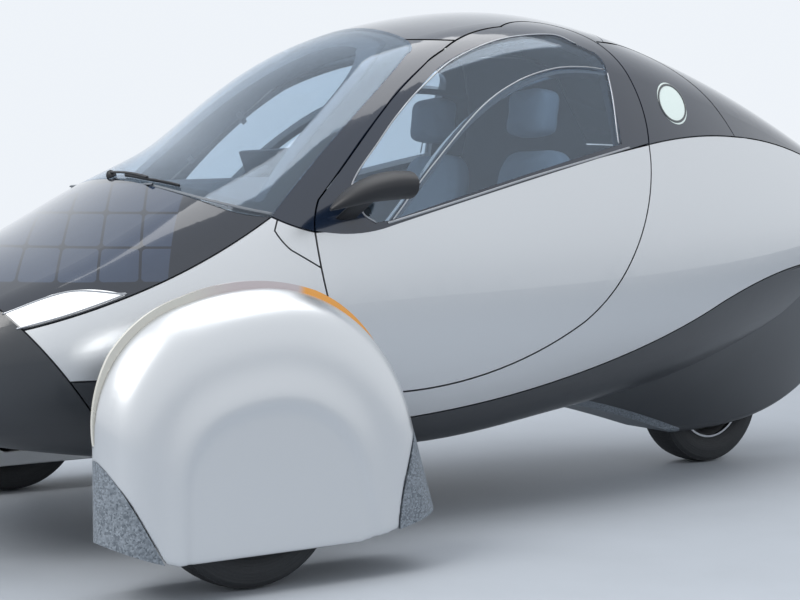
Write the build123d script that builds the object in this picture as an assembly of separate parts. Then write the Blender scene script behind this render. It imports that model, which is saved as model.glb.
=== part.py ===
from build123d import *
import os
from math import sin, cos, radians, sqrt, pi, hypot

# Three wheeled two seat car: teardrop body, two covered front wheels on arms, one rear wheel in a keel.
# Millimetres. X to the car's left, Y to its tail, Z up. Origin on the floor, middle of the overall box.

os.makedirs("parts", exist_ok=True)

# Driving dimensions
HALF_LENGTH = 2150          # body, nose and tail at -Y and +Y
HALF_TRACK = 930            # front wheel centre planes
FRONT_AXLE_Y = -1400
REAR_AXLE_Y = 1234
WHEEL_R = 275               # tyre radius, also the height of every axle
TYRE_W = 160
RIM_R = 172                 # bead seat
PANEL = 15                  # outer panels
CELL = 45                   # from the outer skin to the inside of the safety cell
SEAT_GAP = 0.3              # a panel and what carries it
SEAM = 5                    # between neighbouring panels
DOOR_SEAM = 6
GLASS = 6
BELT_GAP = 0.3              # lower and upper door halves, bonded at the belt

# Body sections along Y
# y, half width, height of widest point, bottom, half flat of bottom, top,
# side arc ends at, shoulder arc ends at (degrees), shoulder radius, lower side arc ends at (degrees)
BODY = [
    (-2150, 250, 560, 460, 100, 660, 30, 65, 45, 35),
    (-2100, 380, 570, 410, 200, 745, 28, 66, 90, 35),
    (-1950, 520, 600, 365, 280, 866, 27, 67, 150, 35),
    (-1700, 610, 650, 320, 340, 984, 26, 68, 200, 35),
    (-1420, 660, 700, 285, 360, 1137, 25, 69, 240, 35),
    (-1100, 690, 740, 262, 360, 1299, 25, 70, 260, 35),
    (-750, 705, 765, 255, 360, 1560, 24, 70, 280, 35),
    (-350, 705, 780, 262, 350, 1713, 23, 70, 290, 35),
    (100, 680, 800, 305, 290, 1762, 23, 70, 290, 35),
    (600, 615, 830, 360, 210, 1680, 23, 70, 260, 35),
    (1100, 500, 870, 450, 130, 1531, 24, 70, 210, 35),
    (1600, 340, 930, 570, 60, 1342, 25, 70, 150, 35),
    (2000, 170, 1000, 730, 20, 1171, 25, 70, 75, 35),
    (2150, 90, 1030, 830, 10, 1100, 25, 70, 40, 35),
]


def two_radii(across, up, turn):
    """Radii of two tangent arcs that turn by `turn`, then on to 90 degrees, and end `across` in and `up` along."""
    c, s = cos(turn), sin(turn)
    det = (1 - c) * (1 - s) - c * s
    return (across * (1 - s) - c * up) / det, ((1 - c) * up - s * across) / det


def section_arcs(row, inset=0):
    """Half width, height of the widest point, top, and (radius, start, end) of the arcs above and below it."""
    _, half, wide_z, bottom, flat, top, side_end, shoulder_end, shoulder_r, low_end = row
    half, bottom, top, shoulder_r = half - inset, bottom + inset, top - inset, shoulder_r - 0.5 * inset
    a1, a2, b1 = radians(side_end), radians(shoulder_end), radians(low_end)
    across = half - shoulder_r * (cos(a1) - cos(a2))
    up = top - wide_z - shoulder_r * (sin(a2) - sin(a1))
    det = (1 - cos(a1)) * (1 - sin(a2)) - cos(a2) * sin(a1)
    side_r = (across * (1 - sin(a2)) - cos(a2) * up) / det
    low_r, bilge_r = two_radii(half - flat, wide_z - bottom, b1)
    return half, wide_z, top, [(side_r, 0, a1), (shoulder_r, a1, a2)], [(low_r, 0, b1), (bilge_r, b1, pi / 2)]


def body_section(row, inset):
    """One closed cross-section, pulled in by `inset` all round: bottom flat, bilge, sides, shoulders, roof."""
    y = row[0] * (1 - inset / HALF_LENGTH)
    half, wide_z, top, rise, fall = section_arcs(row, inset)

    def chain(arcs, sign):
        """The widest point, then the middle and end of each arc that follows it."""
        x, z = half, wide_z
        points = [(x, z)]
        for radius, t0, t1 in arcs:
            points += [(x - radius * (cos(t0) - cos(t)), z + sign * radius * (sin(t) - sin(t0)))
                       for t in ((t0 + t1) / 2, t1)]
            x, z = points[-1]
        return points

    right = [Vector(x, y, z) for x, z in chain(fall, -1)[::-1] + chain(rise, 1)[1:]]
    left = [Vector(-q.X, q.Y, q.Z) for q in right]
    ring = right + [Vector(0, y, top)] + left[::-1]
    arcs = [Edge.make_three_point_arc(*ring[i:i + 3]) for i in range(0, len(ring) - 2, 2)]
    return Face(Wire([Edge.make_line(left[0], right[0])] + arcs))


def body_form(inset):
    """The whole teardrop, pulled in by `inset`; the cabin stops short of the blunt ends."""
    rows = BODY[1:-1] if inset >= CELL else BODY
    return Solid(loft([body_section(row, inset) for row in rows]).wrapped)


SKIN = body_form(0)
UNDER_GLASS = body_form(GLASS)
UNDER_PANEL = body_form(PANEL)
CELL_OUT = body_form(PANEL + SEAT_GAP)
BOND_OUT = body_form(GLASS + SEAT_GAP)
LINING = body_form(CELL + SEAT_GAP)
BESIDE = Pos(SEAT_GAP, 0, 0) * SKIN
BELOW = Pos(0, 0, -SEAT_GAP) * SKIN
CABIN = body_form(CELL)


def view_plane(tilt=0):
    """A plane that looks along +X, tipped up by `tilt` degrees: local x is Y, local y is across the view."""
    t = radians(tilt)
    return Plane(origin=(0, 0, 0), x_dir=(0, 1, 0), z_dir=(cos(t), 0, sin(t)))


def spread(runs, grow):
    """Runs of outline points, each moved `grow` outwards along the outline's own normal there."""
    pts = [Vector(*q) for run in runs for q in run]
    ring = [q for i, q in enumerate(pts) if (q - pts[i - 1]).length > 1e-6]
    area = sum(ring[i - 1].X * q.Y - q.X * ring[i - 1].Y for i, q in enumerate(ring))
    side = 1 if area > 0 else -1

    def shifted(q):
        i = min(range(len(ring)), key=lambda k: (ring[k] - q).length)
        a = (ring[i] - ring[i - 1]).normalized()
        b = (ring[(i + 1) % len(ring)] - ring[i]).normalized()
        n1, n2 = Vector(a.Y, -a.X) * side, Vector(b.Y, -b.X) * side
        return q + (n1 + n2) * (grow / max(1 + n1.dot(n2), 0.4))
    return [[shifted(Vector(*q)) for q in run] for run in runs]


def outline(runs, grow=0):
    """Closed flat face through runs of points: an odd run of 3 or more is a chain of arcs; lines join the runs."""
    edges = []
    last = None
    runs = spread(runs, grow)
    for pts in runs:
        if last is not None and (pts[0] - last).length > 1e-6:
            edges.append(Edge.make_line(last, pts[0]))
        edges += [Edge.make_three_point_arc(*pts[i:i + 3]) for i in range(0, len(pts) - 2, 2)]
        if len(pts) == 2:
            edges.append(Edge.make_line(*pts))
        last = pts[-1]
    if (runs[0][0] - last).length > 1e-6:
        edges.append(Edge.make_line(last, runs[0][0]))
    return Face(Wire(edges))


def punch(runs, grow=0, tilt=0, far=1500):
    """Solid swept from a side view outline, on the +X side only."""
    plane = view_plane(tilt)
    near = 250 if tilt else -10
    return extrude(plane.offset(near) * (Sketch() + outline(runs, grow)), amount=far - near, dir=plane.z_dir)


def across(runs, grow=0):
    """Solid swept from a side view outline right across the car."""
    plane = view_plane()
    return extrude(plane.offset(-1500) * (Sketch() + outline(runs, grow)), amount=3000, dir=plane.z_dir)


def flat(point, tilt):
    """Side view coordinates of a point (x, y, z) for a view tipped up by `tilt` degrees."""
    x, y, z = point
    t = radians(tilt)
    return (y, z * cos(t) - x * sin(t))


def one(shape):
    """A plain solid or compound from a boolean's result, largest solid first."""
    solids = sorted(shape.solids(), key=lambda s: -s.volume)
    return solids[0] if len(solids) == 1 else Compound(children=solids)


def biggest(shape):
    return max(shape.solids(), key=lambda s: s.volume)


def mirrored(shape):
    """The same piece on the car's right, each of its solids mirrored by itself."""
    solids = [q.mirror(Plane.YZ) for q in shape.solids()]
    return solids[0] if len(solids) == 1 else Compound(children=solids)


OUT = {}


def keep(name, shape):
    OUT[name] = shape


def keep_pair(name, left):
    keep(name + "_left", left)
    keep(name + "_right", mirrored(left))


# Side view lines of the body, as (y, z)
BELT = [(-1142, 1023), (-904, 966), (-740, 993), (-170, 1140), (407, 1272), (680, 1308), (959, 1316),
        (1225, 1302), (1479, 1264), (1840, 1180), (2200, 1052)]
SILL = [(-2250, 520), (-1400, 545), (-606, 377), (-50, 451), (807, 696), (1120, 782), (1373, 821),
        (1800, 868), (2250, 905)]
HOOD = [(-2020, 679), (-1581, 803), (-1142, 1023)]
FASCIA = [(-2113, 1000), (-1524, 250)]
BASE = [(-1425, 1165), (-1340, 1082), (-1142, 1023)]
SCREEN_EDGE = [(-1142, 1023), (-830, 1320), (-549, 1549)]
SCREEN_TOP = [(-549, 1549), (-505, 1590), (-498, 1640)]
FENDER_REAR = [[(-1114, 1040)], [(-1140, 982), (-1122, 951), (-1097, 924)], [(-996, 865)],
               [(-974, 782), (-950, 560), (-930, 330)]]
QUARTER_TOP = [(321, 1640), (700, 1560), (959, 1316)]
HIGH = 1900
LOW = 100


half_seam = SEAM / 2
below_sill = [SILL, [(2250, LOW)], [(-2250, LOW)]]
nose = [FASCIA, [(-1524, LOW)], [(-2300, LOW)], [(-2300, 1000)]]
hood_area = [HOOD, BASE[::-1], [(-1425, HIGH)], [(-2300, HIGH)], [(-2300, 640)]]
screen = [BASE[::-1], [(-1425, HIGH)], [(-498, HIGH)], SCREEN_TOP[::-1], SCREEN_EDGE[::-1]]
fender_back = [*FENDER_REAR, [(-930, LOW)], [(-2300, LOW)], [(-2300, 1040)]]
hatch_area = [QUARTER_TOP, BELT[6:], [(2200, HIGH)], [(321, HIGH)]]
above_belt = [BELT, [(2200, HIGH)], [(-1142, HIGH)]]

# Door outline on the skin, as points (x, y, z); the upper half is cut in a view tipped up, square to the skin
DOOR_TILT = 22
D = {
    "top front": (496, -421, 1567), "pillar bend": (560, -700, 1360), "pillar mid": (528, -560, 1482),
    "pillar foot": (628, -932, 1141), "mirror": (646, -993, 1058), "belt front": (667, -1012, 977),
    "belt back": (586, 407, 1272), "rear mid": (549, 411, 1391), "rear top": (437, 302, 1625),
    "roof back": (365, 134, 1696), "roof front": (411, -122, 1667), "roof mid": (440, -280, 1630),
}
DOOR_LOW = [(-1012, 977), (-1003, 870), (-985, 781), (-955, 650), (-870, 545), (-780, 483), (-676, 468),
            (-301, 521), (52, 666), (273, 882), (402, 1206), (405, 1240), (407, 1272)]


def up(name):
    return flat(D[name], DOOR_TILT)


def belt_flat(point):
    """A belt line point in the tipped view; the skin's half width there is read from the sections."""
    y, z = point
    return flat((half_width(y, z), y, z), DOOR_TILT)


def half_width(y, z):
    """Half width of the skin at a side view point, from the section arcs, interpolated along Y."""
    def at(row):
        x, wide_z, _, rise, fall = section_arcs(row)
        h = abs(z - wide_z)
        for radius, t0, t1 in rise if z > wide_z else fall:
            reach = radius * (sin(t1) - sin(t0))
            s = sin(t0) + min(h, reach) / radius
            x -= radius * (cos(t0) - sqrt(1 - s * s))
            h = max(h - reach, 0)
        return x

    for low, high in zip(BODY, BODY[1:]):
        if low[0] <= y <= high[0]:
            f = (y - low[0]) / (high[0] - low[0])
            return at(low) * (1 - f) + at(high) * f


belt_door = [belt_flat(q) for q in ((-1012, 977), (-904, 966), (-740, 993), (-170, 1140), (407, 1272))]
door_up = [
    [belt_door[0], up("mirror"), up("pillar foot")], [up("pillar bend"), up("pillar mid"), up("top front")],
    [up("top front"), up("roof mid"), up("roof front")], [up("roof front"), up("roof back"), up("rear top")],
    [up("rear top"), up("rear mid"), belt_door[4]], belt_door[::-1]]
door_low = [DOOR_LOW, [(407, 1272), (-170, 1155), (-740, 1010), (-904, 985), (-1012, 977)]]

half_door_seam = DOOR_SEAM / 2

# Door hinge line: along the windscreen pillar, forward of the seam and under the skin
HINGE_A = Vector(628, -932, 1141)
HINGE_B = Vector(523, -530, 1507)
HINGE_AHEAD = 30
HINGE_DEEP = 12
hinge_dir = (HINGE_B - HINGE_A).normalized()
hinge_out = Vector(0.80, -0.30, 0.52)
hinge_out = (hinge_out - hinge_dir * hinge_out.dot(hinge_dir)).normalized()
hinge_ahead = hinge_out.cross(hinge_dir)
HINGE_O = HINGE_B + hinge_ahead * HINGE_AHEAD - hinge_out * HINGE_DEEP
DOOR_EDGE_R = 42            # clears the pillar's skin, which bulges over the hinge line
PILLAR_EDGE_R = DOOR_EDGE_R - 5
HINGE_RUN = (-200, 940)     # where those edges start along the hinge line, and how far they run
hinge_plane = Plane(origin=HINGE_O, x_dir=hinge_ahead * -1, z_dir=hinge_dir * -1)    # y outwards, z to the foot


def hinge_rod(radius, start, length):
    """Cylinder on the door's hinge line, `start` down it from the top of the pillar."""
    return extrude(hinge_plane.offset(start) * Circle(radius), amount=length)


door_cut_low = punch(door_low, -half_door_seam)
door_cut_up = punch(door_up, -half_door_seam, DOOR_TILT)
hole_low = punch(door_low, half_door_seam)
hole_up = punch(door_up, half_door_seam, DOOR_TILT)
inside_edge = hinge_rod(DOOR_EDGE_R, *HINGE_RUN)
pillar_edge = hinge_rod(PILLAR_EDGE_R, *HINGE_RUN)
door_hole = biggest((hole_low + hole_up) - pillar_edge)


# Hatch hinge line: across the car under the roof panel, ahead of the hatch's front edge
HATCH_Y, HATCH_Z = 300, 1690
HATCH_EDGE_R = 66
ROOF_EDGE_R = 60.5
HATCH_END_Y = 1990
hatch_plane = Plane(origin=(0, HATCH_Y, HATCH_Z), x_dir=(0, 1, 0), z_dir=(1, 0, 0))


def hatch_rod(radius, start=-700, length=1400):
    """Cylinder on the hatch's hinge line, `start` along it from the middle of the car."""
    return extrude(hatch_plane.offset(start) * Circle(radius), amount=length)


def slab(y0, y1, z0=0, z1=HIGH, x=1200):
    """Box right across the car between two places along it."""
    return Pos(0, (y0 + y1) / 2, (z0 + z1) / 2) * Box(2 * x, y1 - y0, z1 - z0)


# Body openings, cut through panels and cell alike
hatch_hole = (across(hatch_area, half_seam) & slab(HATCH_Y, HATCH_END_Y + SEAM)) - hatch_rod(ROOF_EDGE_R)
TUB_R = WHEEL_R + 35        # rear wheel housing
TUB_W = TYRE_W / 2 + 32
rear_axle = Plane(origin=(0, REAR_AXLE_Y, WHEEL_R), x_dir=(0, 1, 0), z_dir=(1, 0, 0))


def rear_rod(radius, half):
    """Cylinder about the rear axle, `half` to each side."""
    return extrude(rear_axle.offset(-half) * Circle(radius), amount=2 * half)


tub_hole = rear_rod(TUB_R, TUB_W)

# Door hinges: two knuckles on pins inside the pillar, each on an arm that runs behind the pillar's edge to the door
DOOR_OPEN = 55
HINGE_AT = (150, 400)       # down the hinge line from its top
KNUCKLE_R = 11
KNUCKLE_L = 40
PIN_R = 5
PIN_FIT = 0.1               # radial, between a pin and what turns on it
POCKET = 2                  # round a knuckle and its arm
ARM_T = 20
DOOR_ARM = [[(5, -10)], [(28, -38)], [(60, -38)], [(60, -8)], [(50, -8)], [(45, -23)], [(36, -23)], [(9, -8)]]


def sector(radius, low, high):
    """Outline of a pie slice from `low` to `high` degrees about the local origin."""
    at = [radians(low + (high - low) * f) for f in (0, 0.5, 1)]
    arc = [(radius * cos(t), radius * sin(t)) for t in at]
    return [arc, [(0, 0)]]


def on_line(plane, runs, start, length):
    """Solid from an outline drawn square to a hinge line, `start` along it."""
    return extrude(plane.offset(start) * (Sketch() + outline(runs)), amount=length)


door_arms, door_pockets, door_pins = [], [], []
for at in HINGE_AT:
    arm = on_line(hinge_plane, DOOR_ARM, at - ARM_T / 2, ARM_T) + hinge_rod(KNUCKLE_R, at - KNUCKLE_L / 2, KNUCKLE_L)
    door_arms.append(arm - hinge_rod(PIN_R + PIN_FIT, at - KNUCKLE_L, 2 * KNUCKLE_L))
    pocket = hinge_rod(KNUCKLE_R + POCKET, at - KNUCKLE_L / 2 - POCKET, KNUCKLE_L + 2 * POCKET)
    wide = ARM_T + 2 * POCKET
    pocket += on_line(hinge_plane, sector(DOOR_EDGE_R + 8, -78, 29), at - wide / 2, wide)
    door_pockets.append(pocket)
    door_pins.append(hinge_rod(PIN_R, at - KNUCKLE_L / 2 - 14, KNUCKLE_L + 28))

# Hatch hinges, the same way
HATCH_OPEN = 45
HATCH_AT = 170
HATCH_ARM = [[(4, -11)], [(50, -46)], [(120, -52)], [(120, -28)], [(72, -21)], [(62, -30)], [(10, -4)]]
hatch_arms, hatch_pockets, hatch_pins = [], [], []
for at in (-HATCH_AT, HATCH_AT):
    arm = on_line(hatch_plane, HATCH_ARM, at - ARM_T / 2, ARM_T)
    arm += hatch_rod(KNUCKLE_R, at - KNUCKLE_L / 2, KNUCKLE_L)
    hatch_arms.append(arm - hatch_rod(PIN_R + PIN_FIT, at - KNUCKLE_L, 2 * KNUCKLE_L))
    pocket = hatch_rod(KNUCKLE_R + POCKET, at - KNUCKLE_L / 2 - POCKET, KNUCKLE_L + 2 * POCKET)
    wide = ARM_T + 2 * POCKET
    pocket += on_line(hatch_plane, sector(HATCH_EDGE_R + 2, -80, 34), at - wide / 2, wide)
    hatch_pockets.append(pocket)
    hatch_pins.append(hatch_rod(PIN_R, at - KNUCKLE_L / 2 - 14, KNUCKLE_L + 28))

# Outer panels
shell = SKIN - UNDER_PANEL
glass_shell = SKIN - UNDER_GLASS
whole_wall = SKIN - CABIN
left_half = Pos(750, 0, 900) * Box(1500, 4600, 2000)
panels_back = shell - across(nose, half_seam)
keep("nose_fascia", biggest(shell & across(nose, -half_seam)))
lamp_area = [[(-1945, 700), (-1760, 748), (-1606, 801)], [(-1625, 809), (-1728, 818), (-1812, 799)],
             [(-1930, 752)]]
keep("headlamps", one(panels_back & across(lamp_area, -SEAT_GAP)))
keep("hood", biggest((panels_back & across(hood_area, -half_seam)) - across(lamp_area)))
keep("belly_pan", biggest((panels_back & across(below_sill, -half_seam)) - tub_hole))
left_upper = (panels_back & left_half) - punch(below_sill, half_seam)
side_band = left_upper - [punch(area, half_seam) for area in (above_belt, hood_area, screen)] - door_hole
keep_pair("fender", biggest((side_band & punch(fender_back, -half_seam)) - across(lamp_area)))
side_parts = sorted((side_band - punch(fender_back, half_seam)).solids(), key=lambda q: -q.volume)
keep_pair("body_side", Compound(children=side_parts[:2]))
dark_all = left_upper & punch(above_belt, -half_seam)
dark = dark_all - [door_hole, punch(screen)]
QUARTER_SEAM_Y, QUARTER_SEAM_Z = 300, 1640
quarter = dark - [slab(-2200, QUARTER_SEAM_Y + half_seam), slab(-2200, 700, QUARTER_SEAM_Z - half_seam)]
quarter = biggest(quarter - punch(hatch_area, half_seam))
BADGE_R = 82
badge_plane = Plane(origin=(505, 592, 1428), x_dir=(0, 1, 0), z_dir=(cos(radians(27)), 0.10, sin(radians(27))))
badge = extrude(badge_plane.offset(-60) * Circle(BADGE_R - SEAT_GAP), amount=120)
badge_left = biggest(quarter & badge)
keep("badge_discs", Compound(children=[badge_left, mirrored(badge_left)]))
keep_pair("quarter_panel", biggest(quarter - extrude(badge_plane.offset(-60) * Circle(BADGE_R), amount=120)))
ROOF_LINE = 1605
keep_pair("screen_pillar", biggest((dark & slab(-1400, 0, 900, ROOF_LINE - half_seam)) - door_pockets))
roof_left = dark - [slab(-1400, 0, 900, ROOF_LINE + half_seam), slab(HATCH_Y + 70, 2200), hatch_hole,
                    slab(QUARTER_SEAM_Y - half_seam, 2200, 900, QUARTER_SEAM_Z + half_seam)]
roof_left = biggest(roof_left)
keep("roof_panel", biggest(biggest(roof_left + mirrored(roof_left)) - hatch_pockets))
tail = biggest(dark_all & slab(HATCH_END_Y + SEAM, 2200))
keep("tail_cap", biggest(tail + mirrored(tail)))
FRAME_IN = 40               # how far the windscreen is bonded in from its edge
screen_opening = across(screen, -FRAME_IN)
keep("windshield", biggest(glass_shell & across(screen, -SEAT_GAP)))

# Safety cell under the panels, with its openings
cell_left = (CELL_OUT - CABIN) & left_half
cell_left = cell_left - [door_hole, hatch_hole, tub_hole, screen_opening, slab(HATCH_END_Y - 40, 2200),
                         slab(-2200, -1960), *door_pockets, hatch_pockets[1]]
cell_left = biggest(cell_left) + door_pins + hatch_pins[1]
keep("safety_cell", biggest(cell_left + mirrored(cell_left)))
keep("screen_frame", biggest((BOND_OUT - UNDER_PANEL) & (across(screen, -SEAT_GAP) - screen_opening)))

# Doors and hatch, as thick as the whole wall
left_wall = whole_wall & left_half
door_upper = biggest((left_wall & door_cut_up) - inside_edge)
door_lower = biggest((left_wall & door_cut_low) - inside_edge - punch(door_up, SEAT_GAP - half_door_seam, DOOR_TILT))


def skin_flat(y, z):
    """A skin point seen in the tipped side view."""
    return flat((half_width(y, z), y, z), DOOR_TILT)


def seen(*points):
    """Tipped side view run through points (x, y, z) or (y, z) on the skin."""
    return [flat(q, DOOR_TILT) if len(q) == 3 else skin_flat(*q) for q in points]


bottom_edge = seen((-745, 1012), (-250, 1145), (263, 1268))
window = [bottom_edge, seen((263, 1268), (264, 1400), (519, 267, 1524)),
          seen((519, 267, 1524), (505, 266, 1566), (483, 238, 1595)),
          seen((483, 238, 1595), (472, 165, 1620), (446, 70, 1652)),
          seen((446, 70, 1652), (477, -172, 1618), (535, -456, 1513)),
          seen((535, -456, 1513), (585, -650, 1356), (647, -868, 1120)),
          seen((647, -868, 1120), (673, -845, 1034), (682, -805, 1004)), [bottom_edge[0]]]
drop = [seen((-745, 980), (-250, 1100), (300, 1230)), seen((300, 1230), (519, 300, 1524)),
        seen((519, 300, 1524), (530, 150, 1530), (545, 5, 1516)),
        seen((545, 5, 1516), (608, -351, 1364), (654, -574, 1175)), seen((654, -574, 1175), (682, -745, 1004))]
BAR_OUT, BAR_IN = 12, 12    # the bar between the two panes, each way from the seam between them
pane = biggest(glass_shell & punch(window, -SEAT_GAP, DOOR_TILT))
keep_pair("door_glass", biggest(pane - punch(drop, SEAT_GAP / 2, DOOR_TILT)))
keep_pair("drop_window", biggest(pane & punch(drop, -SEAT_GAP / 2, DOOR_TILT)))
bar = (punch(drop, BAR_OUT, DOOR_TILT) - punch(drop, -BAR_IN, DOOR_TILT)) & BOND_OUT
door_upper = biggest(door_upper - (punch(window, 0, DOOR_TILT) - bar))
keep_pair("door_frame", biggest(door_upper + door_arms))
keep_pair("door_panel", door_lower)
hatch = biggest((whole_wall & across(hatch_area, -half_seam) & slab(HATCH_Y, HATCH_END_Y)) - hatch_rod(HATCH_EDGE_R))
keep("hatch_shell", biggest(hatch + hatch_arms))

# Front wheel covers: side view outline, then a table of sections across the cover, from its inner to its outer face
COVER_HALF = 140
COVER_WALL = 10
COVER_LOW = 107
COVER_MID_Y = -1380
# bottom of the front edge, ends of its tangent arcs, bottom of the rear edge, as (y, z)
COVER_EDGE = [(-1846, 107), (-1846, 457), (-1619, 780), (-1361, 829), (-1053, 731), (-869, 453), (-754, 107)]
# place across the half thickness, share of the outline's reach from the cover's middle line
COVER_STEPS = [(-1, 0.66), (-0.95, 0.76), (-0.84, 0.835), (-0.6, 0.905), (-0.3, 0.962), (0, 1), (0.4, 0.975),
               (0.68, 0.93), (0.86, 0.868), (0.95, 0.79), (0.99, 0.69), (1, 0.56)]


def cover_section(at, share, inset):
    """Side view section of the cover at one place across it, scaled about its middle on the bottom edge."""
    pts = []
    for y, z in COVER_EDGE:
        dy, dz = (y - COVER_MID_Y) * share, (z - COVER_LOW) * share
        shrink = 1 - inset / hypot(dy, dz)
        pts.append(Vector(HALF_TRACK + at, COVER_MID_Y + dy * shrink, COVER_LOW + dz * shrink))
    front, rear = [Vector(q.X, q.Y, COVER_LOW - 40 - 2 * inset) for q in (pts[0], pts[-1])]
    edges = [Edge.make_line(front, pts[1])]
    for a, b in zip(pts[1:], pts[2:-1]):
        edges.append(Edge.make_tangent_arc(a, edges[-1] % 1, b))
    edges += [Edge.make_line(pts[-2], rear), Edge.make_line(rear, front)]
    return Face(Wire(edges))


def cover_form(inset):
    """The cover's form pulled in by `inset`; it runs on below the cover's lower edge, where it is cut off flat."""
    sections = [cover_section(q * (COVER_HALF - inset), share, inset) for q, share in COVER_STEPS]
    return Solid(loft(sections).wrapped)


KINGPIN_X = 870
ARM_X = 500
LOW_ARM_Z, HIGH_ARM_Z = 170, 390
# Wishbones: height at the wheel, height and half spread at the body, how far along the car a leg measures
WISHBONES = [(LOW_ARM_Z, 350, 150, 30), (HIGH_ARM_Z, 450, 120, 24)]
ARM_HOLE = (96, 46)         # half length and half height of the slots in the cover's inner side
slots = []
for z, body_z, _, _ in WISHBONES:
    slot_z = z + (body_z - z) * (KINGPIN_X - HALF_TRACK + COVER_HALF) / (KINGPIN_X - ARM_X)
    side = Plane(origin=(HALF_TRACK - COVER_HALF - 20, FRONT_AXLE_Y, slot_z), x_dir=(0, 1, 0), z_dir=(1, 0, 0))
    slots.append(extrude(side * RectangleRounded(2 * ARM_HOLE[0], 2 * ARM_HOLE[1], 40), amount=60))
corner_front = [[(-1990, 400)], [(-1850, 398), (-1790, 276), (-1690, 90)], [(-1690, 20), (-1990, 20)]]
corner_rear = [[(-700, 425)], [(-878, 425), (-938, 290), (-972, 90)], [(-972, 20), (-700, 20)]]
trim_front = [[(-1990, 225)], [(-1862, 180), (-1730, 127), (-1600, 90)], [(-1600, 20), (-1990, 20)]]
trim_rear = [[(-700, 205)], [(-745, 188), (-960, 136), (-1215, 90)], [(-1215, 20), (-700, 20)]]
below_edge = slab(-2100, -600, 0, COVER_LOW)
cover_inner = cover_form(COVER_WALL)
cover = cover_form(0) - [below_edge, punch(trim_front), punch(trim_rear)]
corners = [punch(corner_front), punch(corner_rear)]
keep_pair("cover_corners", Compound(children=[biggest((cover & q) - cover_inner) for q in corners]))

# Light guide along each cover's crest: a fin let into the shell and standing proud of it
FIN_W = 12
FIN_EDGE = [(-1846, 427), (-1843, 549), (-1800, 665), (-1710, 755), (-1597, 809), (-1355, 849), (-1172, 818),
            (-1050, 747), (-945, 619)]
fin_side = [FIN_EDGE, [(-1000, 600), (-1345, 640), (-1780, 420)]]
fin_plane = view_plane().offset(HALF_TRACK - FIN_W / 2)
fin = extrude(fin_plane * (Sketch() + outline(fin_side)), amount=FIN_W, dir=(1, 0, 0))
keep_pair("wheel_cover", biggest((cover - [*corners, fin, *slots]) - cover_inner))
keep_pair("marker_strip", biggest(fin - cover_inner))


# Wheels: tyre and rim sections turned about the axle
def turned(profile, x, y):
    """Solid turned about a wheel's axle from runs of (radius, place along the axle)."""
    plane = Plane(origin=(x, y, WHEEL_R), x_dir=(0, 0, 1), z_dir=(0, -1, 0))
    return revolve(plane * (Sketch() + outline(profile)), axis=Axis((x, y, WHEEL_R), (1, 0, 0)))


W = TYRE_W / 2
TYRE_PROFILE = [[(RIM_R, -W + 18), (RIM_R + 26, -W + 3), (RIM_R + 52, -W)], [(WHEEL_R - 20, -W + 7)],
                [(WHEEL_R - 7, -W + 18), (WHEEL_R, 0), (WHEEL_R - 7, W - 18)], [(WHEEL_R - 20, W - 7)],
                [(RIM_R + 52, W), (RIM_R + 26, W - 3), (RIM_R, W - 18)], [(RIM_R, W - 34)], [(RIM_R + 40, W - 22)],
                [(RIM_R + 40, -W + 22)], [(RIM_R, -W + 34)]]
BEAD = RIM_R - SEAT_GAP
DISC_IN = RIM_R - 30
RIM_PROFILE = [[(BEAD, -W + 14)], [(BEAD, -W + 38)], [(RIM_R - 22, -W + 44)], [(RIM_R - 22, W - 44)],
               [(BEAD, W - 38)], [(BEAD, W - 14)], [(RIM_R - 8, W - 14)], [(RIM_R - 14, W - 34)], [(DISC_IN, 34)],
               [(110, 26), (88, 31), (62, 46)], [(60, 52)], [(20.1, 52)], [(20.1, -4)], [(60, -4)],
               [(62, 30), (88, 19), (110, 14)], [(DISC_IN, 22)], [(DISC_IN, -W + 46)], [(RIM_R - 8, -W + 30)],
               [(RIM_R - 8, -W + 14)]]
SPINDLE_R = 20
WHEELS = {"left": (HALF_TRACK, FRONT_AXLE_Y), "right": (-HALF_TRACK, FRONT_AXLE_Y), "rear": (0, REAR_AXLE_Y)}
for name, (x, y) in WHEELS.items():
    rim = turned(RIM_PROFILE, x, y)
    face = Plane(origin=(x - 60, y, WHEEL_R), x_dir=(0, 1, 0), z_dir=(1, 0, 0))
    for spot in PolarLocations(116, 10):
        rim = rim - extrude(face * spot * Circle(15), amount=140)
    if name == "left":
        rim = rim.mirror(Plane(origin=(x, 0, 0), z_dir=(1, 0, 0)))
    keep("tyre_" + name, biggest(turned(TYRE_PROFILE, x, y)))
    keep("rim_" + name, biggest(rim))

# Front knuckles: upright with spindle, and pins that stand in the eyes of the arms
KINGPIN_R = 11
EYE_R = 24
EYE_H = 30


def rod(a, b, radius):
    """Round bar between two points."""
    a, b = Vector(*a), Vector(*b)
    return extrude(Plane(origin=a, z_dir=(b - a).normalized()) * Circle(radius), amount=(b - a).length)


def oval_bar(a, b, along, thick):
    """Oval bar between two points, its long side along the car."""
    a, b = Vector(*a), Vector(*b)
    plane = Plane(origin=a, x_dir=(0, 1, 0), z_dir=(b - a).normalized())
    return extrude(plane * Ellipse(along / 2, thick / 2), amount=(b - a).length)


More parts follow.
